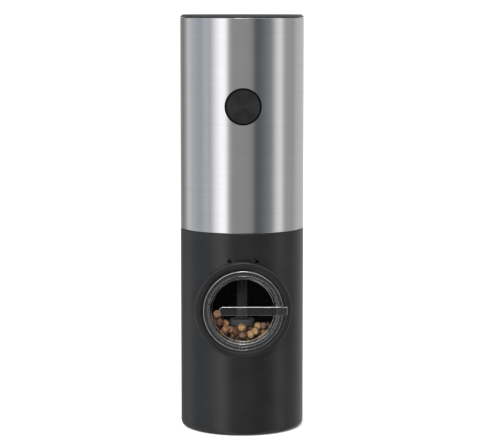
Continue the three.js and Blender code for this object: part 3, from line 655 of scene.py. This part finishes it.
def carve(piece, tools, operation):
    """Cuts the tools out of a piece, or joins them to it."""
    for number, tool in enumerate(tools):
        tool_piece = to_piece(f"tool_{number}", tool, piece.data.materials[0])
        modifier = piece.modifiers.new("carve", "BOOLEAN")
        modifier.operation, modifier.solver, modifier.object = operation, "EXACT", tool_piece
        graph = bpy.context.evaluated_depsgraph_get()
        result = bpy.data.meshes.new_from_object(piece.evaluated_get(graph))
        piece.modifiers.clear()
        piece.data = result
        bpy.data.objects.remove(tool_piece)


def place(piece, body, slot_name, *nodes):
    """Lets a piece ride on its body and stand for its nodes. Its slot name is not used."""
    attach(piece, body)
    if nodes:
        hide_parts(*nodes)
    print(piece.name, "on", body, "with", len(piece.data.polygons), "faces")


# %% True normals
upright_within = 0.02  # the most that the normal of an upright wall may lean
on_wall = 0.03 * mm  # how near a point must lie to a wall's radius


def true_normals(piece, upright=(), forward=(), smooth_below=32):
    """Sets exact normals on round walls.

    `upright` holds radii about the mill's axis, and `forward` holds pairs of radius and height
    about an axis that points out of the front."""
    data = piece.data
    data.shade_smooth()
    data.set_sharp_from_angle(angle=math.radians(smooth_below))
    normals = [Vector(n.vector) for n in data.corner_normals]
    walls = [(Vector((0, 0, 0)), 2, radius * mm) for radius in upright]
    walls += [(Vector((0, 0, height * mm)), 1, radius * mm) for radius, height in forward]
    for face in data.polygons:
        for centre, axis, radius in walls:
            if abs(face.normal[axis]) > upright_within:
                continue
            arms = [data.vertices[v].co - centre for v in face.vertices]
            for arm in arms:
                arm[axis] = 0
            if all(abs(arm.length - radius) < on_wall for arm in arms):
                for loop, arm in zip(face.loop_indices, arms):
                    outward = 1 if arm.dot(face.normal) > 0 else -1
                    normals[loop] = arm.normalized() * outward
                break
    data.normals_split_custom_set(normals)


print("pieces can be cut, joined and shaded")

# %% [markdown]
# ## Black lower body
#
# One moulding holds the pepper and the grinder. A flat round collar stands out of its front, with
# a stepped mouth for the door and two slots that let the door's lugs in. It is built as a moulder
# cores it: a solid outside first, then the bore, then the mouth's tube and the steps inside it.

# %% Body sizes
body_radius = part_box("top_cap")[1].x / mm
body_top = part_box("lower_body")[1].z / mm
collar_front = -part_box("lower_body")[0].y / mm
door_low, door_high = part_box("door_gasket")
door_height = (door_low.z + door_high.z) / 2 / mm
body_wall, foot_radius, foot_thick, foot_round, top_round = 2.2, 23.2, 2.5, 3.0, 0.35
body_bore = body_radius - body_wall
collar_radius, collar_round = 24.0, 1.0
seat_radius, seat_depth = 20.2, 2.8
mouth_radius, slot_radius, tube_radius = 17.5, 19.0, 20.8
lip_depth, tube_depth, tube_sunk, slot_span = 4.9, 8.2, 1.5, 29.0
dish_width, dish_depth = 1.3, 0.7  # the collar's front falls away towards the door
hidden_root = 12.0  # where the collar starts, well inside the body
past = 5.0  # how far a cutting tool reaches past the surface it opens
print("body", body_radius, "mm in radius,", body_top, "mm tall, door at", round(door_height, 2))


# %% Tools that point forward
def front_rod(radius, back, front, height, steps=160):
    """A plain round tool that points out of the front."""
    section = [(0, back), (radius, back), (radius, front), (0, front)]
    return tip_to_front(lathe(section, steps, False), height)


def arc_block(inner, outer, back, front, middle, span, height, steps=14):
    """A curved bar with square ends, on a circle about the door's axis."""
    mesh = bmesh.new()
    angles = [math.radians(middle + span * (k / steps - 0.5)) for k in range(steps + 1)]
    flat = [(outer * math.cos(a), outer * math.sin(a)) for a in angles]
    flat += [(inner * math.cos(a), inner * math.sin(a)) for a in reversed(angles)]
    loops = [[mesh.verts.new((x * mm, y * mm, z * mm)) for x, y in flat] for z in (back, front)]
    return tip_to_front(skin_over(mesh, loops), height)


print("a rod and a curved block can be made")

# %% Black body: outside, collar and bore
outside = [(0, 0), (body_radius, 0, foot_round), (body_radius, body_top, top_round), (0, body_top)]
black_body = to_piece("black_body", lathe(outside, 216, False), satin_black)
collar = [
    (0, hidden_root), (collar_radius, hidden_root),
    (collar_radius, collar_front, collar_round), (0, collar_front),
]
carve(black_body, [tip_to_front(lathe(collar, 192, False), door_height)], "UNION")
bore = [
    (0, foot_thick), (body_bore, foot_thick), (body_bore, body_top + past), (0, body_top + past)
]
foot_hole = [(0, -past), (foot_radius, -past), (foot_radius, past), (0, past)]
carve(black_body, [lathe(bore, 160, False), lathe(foot_hole, 160, False)], "DIFFERENCE")
print("body bored to", round(body_bore, 2), "mm in radius")

# %% Black body: the door's tube, mouth and slots
tube_back = collar_front - tube_depth
tube = front_rod(tube_radius, tube_back, collar_front - tube_sunk, door_height)
carve(black_body, [tube], "UNION")
mouth_back, lip_front = 8.0, collar_front - lip_depth
seat_front, dish_radius = collar_front - seat_depth, seat_radius + dish_width
mouth = [
    (0, mouth_back), (slot_radius, mouth_back), (slot_radius, lip_front), (mouth_radius, lip_front),
    (mouth_radius, seat_front, 0.2), (seat_radius, seat_front),
    (seat_radius, collar_front - dish_depth, 0.2), (dish_radius, collar_front, 0.2),
    (dish_radius + 1, collar_front + 1), (0, collar_front + 1),
]
tools = [tip_to_front(lathe(mouth, 160, False), door_height)]
slot = (mouth_radius - 1, slot_radius, tube_back - 1, seat_front + 0.01)
for middle in (0, 180):  # degrees round the door's axis
    tools.append(arc_block(*slot, middle, slot_span, door_height))
carve(black_body, tools, "DIFFERENCE")
forward_walls = (collar_radius, tube_radius, slot_radius, mouth_radius, seat_radius)
true_normals(
    black_body,
    upright=(body_radius, body_bore, foot_radius),
    forward=[(radius, door_height) for radius in forward_walls],
)
print("mouth cut with", len(tools), "tools")

# %% Black body: painted shade inside
# Painted shade: the faces of the bore, inside the hopper where shadow falls, get the near-black
# instead of the body's satin black.
black_body.data.materials.append(painted_shade_black)
for face in black_body.data.polygons:
    reach = max(math.hypot(*black_body.data.vertices[v].co.xy) for v in face.vertices)
    if reach < (body_bore + 0.05) * mm and face.center.z > foot_thick * mm:
        face.material_index = 1
place(black_body, "mill", "satin_black", "lower_body")

# %% [markdown]
# ## Steel tube
#
# The tube is thin drawn steel, slipped over the chassis, with one round hole for the button. Its
# edges are eased only a little, so it ends in a crisp bright line against the black parts.

# %% Steel tube
tube_low, tube_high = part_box("steel_sleeve")
tube_bottom, tube_top = tube_low.z / mm, tube_high.z / mm
tube_wall, button_hole = 0.7, 9.1
tube_bore = body_radius - tube_wall
button_low, button_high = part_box("button")
button_height = (button_low.z + button_high.z) / 2 / mm
section = [
    (tube_bore, tube_bottom, 0.12), (body_radius, tube_bottom, 0.3),
    (body_radius, tube_top, 0.3), (tube_bore, tube_top, 0.12),
]
steel_tube = to_piece("steel_tube", lathe(section, 240), brushed_steel)
drill = front_rod(button_hole, 15, body_radius + 4, button_height)
carve(steel_tube, [drill], "DIFFERENCE")
tube_walls = (body_radius, tube_bore)
true_normals(steel_tube, upright=tube_walls, forward=[(button_hole, button_height)])
place(steel_tube, "mill", "brushed_steel", "steel_sleeve")

# %% [markdown]
# ## Top cap
#
# The cap closes the battery space. Only its thin chamfered lid shows; a skirt with a rubber ring
# holds it in the chassis, and a pad underneath carries the contacts. One turned section gives all
# of it.

# %% Top cap
cap_low, cap_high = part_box("top_cap")
total_height = cap_high.z / mm
skirt_bottom = cap_low.z / mm
lid_gap, pad_thick, pad_radius, pad_step, lid_slope = 0.2, 3.4, 19.5, 1.2, 1.1
skirt_inside, skirt_outside, groove_radius = 25.9, 27.7, 26.7
groove_low, groove_high = skirt_bottom + 1.4, skirt_bottom + 3.2
lid_under, pad_under = tube_top + lid_gap, total_height - pad_thick
section = [
    (0, pad_under), (pad_radius, pad_under, 0.3), (pad_radius, pad_under + pad_step),
    (skirt_inside, pad_under + pad_step, 0.3), (skirt_inside, skirt_bottom, 0.3),
    (skirt_outside, skirt_bottom, 0.4), (skirt_outside, groove_low), (groove_radius, groove_low),
    (groove_radius, groove_high), (skirt_outside, groove_high), (skirt_outside, lid_under),
    (body_radius, lid_under, 0.1), (body_radius, total_height - lid_slope, 0.35),
    (body_radius - lid_slope, total_height, 0.8), (0, total_height),
]
cap_lid = to_piece("cap_lid", lathe(section, 216, False), satin_black)
place(cap_lid, "cap", "satin_black", "top_cap")

# %% [markdown]
# ## Push button
#
# The button's face is spun: a tool left fine rings round its middle. Rings spread light across
# themselves, so each bright place in the studio shows on it as a wedge that points at the centre.
# The rings here are real ridges, because that way the wedges stay right from every side.

# %% Push button: section
button_radius, button_front = 8.6, -button_low.y / mm
button_back, flange_back, flange_thick = -button_high.y / mm, 27.0, 1.0
flange_front = flange_back + flange_thick
stem_radius, flange_radius = 1.8, 9.4
ridge_pitch, ridge_height, ridge_start, ridge_points = 0.36, 0.072, 7.9, 4
section = [
    (0, button_back), (stem_radius, button_back, 0.3), (stem_radius, flange_back),
    (flange_radius, flange_back, 0.15), (flange_radius, flange_front, 0.15),
    (button_radius, flange_front), (button_radius, button_front, 0.4),
    (ridge_start + 0.1, button_front),
]
for k in range(int(ridge_start / ridge_pitch * ridge_points)):
    radius = ridge_start - k * ridge_pitch / ridge_points
    dip = ridge_height * (0.5 - 0.5 * math.cos(2 * math.pi * k / ridge_points))
    section.append((radius, button_front - dip))
section.append((0, button_front - ridge_height / 2))
print(int(ridge_start / ridge_pitch), "rings on the button")

# %% Push button: finish and piece
spun_black = Finish("spun_black", Metallic=1.0)
tarnish = spun_black.noise(3.0)
spun_black.paint(
    Base_Color=spun_black.blend(tarnish, (0.072, 0.072, 0.073, 1), (0.108, 0.108, 0.109, 1)),
    Roughness=0.08 + tarnish * 0.05,
    Normal=spun_black.bump(spun_black.noise(0.3), 0.001),
)
button_mesh = tip_to_front(lathe(section, 128, False), button_height)
button_cap = to_piece("button_cap", button_mesh, spun_black.material, smooth_below=50)
# Painted shade: the eased edge and the side below it get the near-black instead of the spun metal.
button_cap.data.materials.append(painted_shade_black)
edge_start = 8.2  # the eased edge and the side below it lie in their own shade
for face in button_cap.data.polygons:
    if math.hypot(face.center.x, face.center.z - button_height * mm) > edge_start * mm:
        face.material_index = 1
place(button_cap, "button", "satin_black", "button")

# %% [markdown]
# ## Return spring
#
# A coil of thin wire pushes the button back out, and gets shorter as the button goes in. A round
# wire is swept along a helix whose end turns lie flat. The coil is built at its length at rest.

# %% Return spring
spring_low, spring_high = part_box("button_spring")
spring_back, spring_front = -spring_high.y / mm, -spring_low.y / mm
spring_length = spring_front - spring_back
wire_radius, wire_sides, button_travel = 0.25, 10, 1.5
spring_turns, flat_turns, turn_steps = 3.5, 0.75, 40
coil_radius = (spring_high.x - spring_low.x) / 2 / mm - wire_radius
spring_mesh = bmesh.new()
along = Vector((0, 0, 1))
hoops = []
for k in range(int(spring_turns * turn_steps) + 1):
    turn = k / turn_steps
    share = min(1.0, max(0.0, (turn - flat_turns) / (spring_turns - 2 * flat_turns)))
    depth = spring_back + wire_radius + share * (spring_length - 2 * wire_radius)
    out = Vector((math.cos(2 * math.pi * turn), math.sin(2 * math.pi * turn), 0))
    hoop = []
    for side in range(wire_sides):
        a = 2 * math.pi * side / wire_sides
        arm = out * math.cos(a) + along * math.sin(a)
        point = out * coil_radius + along * depth + arm * wire_radius
        hoop.append(spring_mesh.verts.new(point * mm))
    hoops.append(hoop)
skin_over(spring_mesh, hoops)
return_spring = to_piece("return_spring", tip_to_front(spring_mesh, button_height), plain_steel)
place(return_spring, "mill", "plain_steel", "button_spring")
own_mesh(return_spring)
print("spring", round(spring_length, 2), "mm long at rest")

# %% [markdown]
# ## Refill door
#
# The door is one clear moulding: a sunk window, a rim with two raised rings, a neck behind it with
# two lugs, and a grip bar that runs across the window and past the rim on the right, where it
# points at the lock marks. The bar and the lugs are joined to it, so it stays a single closed
# solid, as moulded.

# %% Refill door: section
window_radius, window_sunk, window_thick, door_proud = 15.6, 1.8, 2.0, 0.8
neck_radius, neck_wall, neck_length, rim_radius = 17.1, 1.8, 7.0, 19.8
flange_sunk, groove_depth, funnel_depth = 1.2, 0.35, 0.5
window_front, rim_front = collar_front - window_sunk, collar_front + door_proud
window_back, neck_back = window_front - window_thick, collar_front - neck_length
neck_inside, flange_rear = neck_radius - neck_wall, collar_front - flange_sunk
section = [
    (0, window_back), (neck_inside, window_back, 0.3), (neck_inside, neck_back, 0.3),
    (neck_radius, neck_back, 0.3), (neck_radius, flange_rear, 0.2), (rim_radius, flange_rear, 0.2),
    (rim_radius, rim_front, 0.5), (window_radius + 2.3, rim_front, 0.12),
    (window_radius + 2.15, rim_front - groove_depth, 0.1),
    (window_radius + 1.9, rim_front - groove_depth, 0.1),
    (window_radius + 1.75, rim_front, 0.12), (window_radius + 1.0, rim_front, 0.25),
    (window_radius + 0.6, rim_front - funnel_depth, 0.1), (window_radius, window_front, 0.3),
    (0, window_front),
]
door_mesh = tip_to_front(lathe(section, 176, False), door_height)
clear_door = to_piece("clear_door", door_mesh, clear_plastic, smooth_below=38)
print("door", round(rim_front - neck_back, 2), "mm deep")


# %% Refill door: grip bar and lugs
half_grip, grip_proud, grip_ease = 2.2, 1.4, 0.4


def grip_bar(left, right, round_left, low, high):
    """A bar across the door with a round or square left end and eased front edges."""
    mesh = bmesh.new()
    flat = [(right, half_grip), (right, -half_grip)]
    if round_left:
        centre = left + half_grip
        angles = [math.radians(270 - 180 * k / 16) for k in range(17)]
        flat += [(centre + half_grip * math.cos(a), half_grip * math.sin(a)) for a in angles]
    else:
        flat += [(left, -half_grip), (left, half_grip)]
    bottom = [mesh.verts.new((x * mm, y * mm, low * mm)) for x, y in flat]
    base = mesh.faces.new(bottom)
    lifted = bmesh.ops.extrude_face_region(mesh, geom=[base])["geom"]
    top = [v for v in lifted if isinstance(v, bmesh.types.BMVert)]
    for vert in top:
        vert.co.z = high * mm
    rim = [e for e in mesh.edges if all(v in top for v in e.verts)]
    ease = {"offset": grip_ease * mm, "segments": 4, "profile": 0.5, "affect": "EDGES"}
    bmesh.ops.bevel(mesh, geom=rim, **ease)
    bmesh.ops.recalc_face_normals(mesh, faces=mesh.faces)
    return tip_to_front(mesh, door_height)


grip_front = collar_front + grip_proud
bar = grip_bar(-12.1, window_radius + 0.9, True, window_front - 0.5, grip_front)
pointer = grip_bar(window_radius - 0.6, rim_radius + 2.0, False, collar_front + 0.3, grip_front)
lug_thick, lug_span = 1.8, 24
lug = (neck_radius - 0.6, neck_radius + 1.5, neck_back, neck_back + lug_thick)
lugs = [arc_block(*lug, middle, lug_span, door_height) for middle in (0, 180)]
carve(clear_door, [bar, pointer, *lugs], "UNION")
clear_door.data.shade_smooth()
clear_door.data.set_sharp_from_angle(angle=math.radians(38))
print("door joined from", 3 + len(lugs), "solids")

# %% Refill door: flats and edges
clear_door.data.materials.append(clear_flat)
clear_door.data.materials.append(clear_edge)
least_edge, least_flat = 0.45, 0.96  # how squarely a face looks out of the front
lit_faces = [0, 0, 0]
for face in clear_door.data.polygons:
    facing, front = -face.normal.y, -face.center.y / mm
    if least_edge < facing < least_flat and front > window_front - 0.2:
        face.material_index = 2
    elif facing >= least_flat and front > collar_front + 0.2:
        face.material_index = 1
    lit_faces[face.material_index] += 1
print("faces in the window's, the flats' and the edges' finish:", lit_faces)
place(clear_door, "door", "clear_plastic", "refill_door")

# %% [markdown]
# ## Pepper in the hopper
#
# A heap of corns is what shows that this is a pepper mill. Each corn is a ball creased by noise,
# and no two neighbours are alike, because six shapes are turned at random and dyed in four skins.
# They start on a loose grid under the heap's surface and then push each other apart for a fixed
# number of rounds, kept inside the hopper, behind the window and clear of the stirrer. Only the
# upper layers are laid, as the ones below can't be seen.

# %% Where corns may lie
stirrer_clear, wall_gap, window_gap, neck_gap = 9.3, 0.3, 0.15, 0.2
hopper_wall = body_bore - wall_gap
neck_inner = neck_inside - window_gap
heap_front = window_back - window_gap
neck_start = tube_back - neck_gap
heap_level, heap_depth = 46.5, 9.0


def rise(value, start, end):
    """A soft step from 0 to 1."""
    share = np.clip((value - start) / (end - start), 0, 1)
    return share * share * (3 - 2 * share)


def heap_top(x, y):
    """The heap leans against the window, high on the left and a little less on the right."""
    banked = 4.5 + 8.0 * rise(-x, 4, 13) + 3.0 * rise(x, 6, 12)
    return heap_level + banked * rise(-y, 8, 19)


def keep_inside(centres, radii):
    """Moves corns back between the stirrer, the hopper's wall, the neck and the window."""
    x, y, z = centres.T
    in_neck = -y > neck_start - 1
    reach = np.hypot(x, y)
    wanted = np.where(in_neck, reach, np.clip(reach, stirrer_clear + radii, hopper_wall - radii))
    x, y = x * wanted / reach, y * wanted / reach
    y = np.maximum(y, -heap_front + radii)
    from_door = np.hypot(x, z - door_height)
    limit = np.where(in_neck, np.minimum(from_door, neck_inner - radii), from_door)
    x, z = x * limit / from_door, door_height + (z - door_height) * limit / from_door
    return np.stack([x, y, z], axis=1)


print("heap level", heap_level, "mm")

# %% Lay the corns
rng = random.Random(11)
grid, layer, lowest = 3.7, 0.80, 38.5
starts = []
for ix in range(-8, 9):
    for iy in range(-8, 9):
        for iz in range(8):
            x = (ix + 0.5 * (iz % 2)) * grid + rng.uniform(-0.5, 0.5)
            y = (iy + 0.5 * (iz % 2)) * grid + rng.uniform(-0.5, 0.5)
            z = lowest + iz * grid * layer + rng.uniform(-0.4, 0.4)
            reach, top = math.hypot(x, y), heap_top(x, y)
            in_neck = -y > neck_start and math.hypot(x, z - door_height) < neck_inner - 1
            in_hopper = stirrer_clear + 1 < reach < hopper_wall - 1 and -y < neck_start
            in_heap = top - heap_depth < z < top and -y < heap_front - 1
            if (in_hopper or in_neck) and in_heap:
                starts.append((x, y, z))
corn_centres = np.array(starts)
corn_radii = np.array([rng.uniform(1.72, 2.12) for _ in starts])
rounds, push_share, largest_step = 90, 0.42, 0.6
for _ in range(rounds):
    apart = corn_centres[:, None, :] - corn_centres[None, :, :]
    distance = np.linalg.norm(apart, axis=2) + np.eye(len(starts)) * 1e3
    overlap = np.clip(corn_radii[:, None] + corn_radii[None, :] - distance, 0, None)
    push = (apart / distance[:, :, None] * overlap[:, :, None] * push_share).sum(axis=1)
    step = np.clip(push, -largest_step, largest_step)
    corn_centres = keep_inside(corn_centres + step, corn_radii)
print(len(starts), "corns, worst overlap", round(float(overlap.max()), 2), "mm")


# %% Corn shapes
def creased_ball(seed, detail):
    """A ball of radius 1 with the ridges of dried skin."""
    mesh = bmesh.new()
    bmesh.ops.create_icosphere(mesh, subdivisions=detail, radius=1.0)
    mesh.verts.index_update()
    shift = Vector((seed * 3.7, seed * 1.9, -seed * 2.3))
    points = []
    for vert in mesh.verts:
        here = vert.co
        folds = abs(noise.noise(here * 1.9 + shift)) + 0.5 * abs(noise.noise(here * 4.1 + shift))
        lumps = noise.noise(here * 0.9 - shift)
        points.append(here * (1.0 - 0.20 * max(0.0, 0.32 - folds) + 0.05 * lumps - 0.02))
    faces = [[v.index for v in f.verts] for f in mesh.faces]
    mesh.free()
    return np.array([list(p) for p in points]), np.array(faces)


near_shapes = [creased_ball(seed, 4) for seed in range(6)]
far_shapes = [creased_ball(seed, 3) for seed in range(6)]
near_from, skin_weights = -17, (4, 3, 3, 2)
points, faces, skins, used = [], [], [], 0
for centre, radius in zip(corn_centres, corn_radii):
    shape, shape_faces = rng.choice(near_shapes if centre[1] < near_from else far_shapes)
    spin = Quaternion([rng.gauss(0, 1) for _ in range(4)]).normalized()
    rotation = np.array(spin.to_matrix())
    points.append(shape @ rotation.T * radius * mm + centre * mm)
    faces.append(shape_faces + used)
    skins += rng.choices(range(4), weights=skin_weights) * len(shape_faces)
    used += len(shape)
corn_data = bpy.data.meshes.new("pepper_heap")
corn_data.from_pydata(np.concatenate(points), [], np.concatenate(faces))
for skin in pepper_skins:
    corn_data.materials.append(skin)
corn_data.polygons.foreach_set("material_index", skins)
corn_data.shade_smooth()
pepper_heap = bpy.data.objects.new("pepper_heap", corn_data)
bpy.context.scene.collection.objects.link(pepper_heap)
place(pepper_heap, "mill", "pepper", "peppercorns")

# %% [markdown]
# ## Lock marks
#
# Two small generic padlocks, shut on the left and open on the right, and a line between them say
# which way the door turns. They are printed on the curved body, so flat outlines are drawn first
# and then wrapped round it as skins a few hundredths of a millimetre thick.

# %% Lock marks
mark_height, mark_spread, line_width = 88.3, 6.8, 0.34
mark_sunk, mark_thick = 0.03, 0.05


def wrapped(outlines):
    """Wraps flat outlines, in mm to the right and up, round the body's front."""
    mesh = bmesh.new()
    for flat in outlines:
        loops = []
        for radius in (body_radius - mark_sunk, body_radius + mark_thick):
            loop = []
            for u, v in flat:
                a = u / body_radius
                spot = (radius * math.sin(a) * mm, -radius * math.cos(a) * mm, v * mm)
                loop.append(mesh.verts.new(spot))
            loops.append(loop)
        skin_over(mesh, loops)
    return mesh


def padlock(x, z, lean):
    """A padlock's body and its bow; the bow of an open one leans to the side."""
    half, deep, outer, inner = 0.95, 1.35, 0.72, 0.42
    body = [(x - half, z), (x + half, z), (x + half, z - deep), (x - half, z - deep)]
    arc = [math.radians(180 * k / 10) for k in range(11)]
    middle, bottom = x + lean, z + (0.3 if lean else -0.1)
    bow = [(middle + outer * math.cos(a), z + 0.35 + outer * math.sin(a)) for a in arc]
    bow += [(middle - outer, bottom), (middle - inner, bottom)]
    bow += [(middle + inner * math.cos(a), z + 0.35 + inner * math.sin(a)) for a in reversed(arc)]
    bow += [(middle + inner, z - 0.1), (middle + outer, z - 0.1)]
    return [body, bow]


def stroke(start, end, step=0.5):
    """A straight stroke in short lengths, so that it follows the curve of the body."""
    start, end = Vector(start), Vector(end)
    side = (end - start).normalized().orthogonal() * line_width / 2
    count = max(1, round((end - start).length / step))
    marks = [start.lerp(end, k / count) for k in range(count + 1)]
    return [[a - side, b - side, b + side, a + side] for a, b in zip(marks, marks[1:])]


outlines = padlock(-mark_spread, mark_height, 0) + padlock(mark_spread, mark_height, -0.9)
outlines += stroke((-4.2, mark_height), (3.2, mark_height))
outlines += stroke((3.2, mark_height + 0.1), (4.1, mark_height - 1.0))
lock_marks = to_piece("lock_marks", wrapped(outlines), mark_ink)
place(lock_marks, "mill", "satin_black")

# %% [markdown]
# ## The floor's card
#
# The card is pale and matt, with a faint tooth. It glows a little, as card does under a second
# light, so the far side stays as pale as the near side.

# %% Card
card = Finish("pale_card", Specular_IOR_Level=0.1, Emission_Strength=0.42)
tooth = card.noise(3.0)
card.paint(
    Base_Color=card.blend(tooth, (0.80, 0.80, 0.80, 1), (0.83, 0.83, 0.83, 1)),
    Roughness=0.8 + tooth * 0.1,
    Emission_Color=card.blend(tooth, (0.98, 0.98, 0.98, 1), (1, 1, 1, 1)),
)
sweep_mesh.materials.append(card.material)
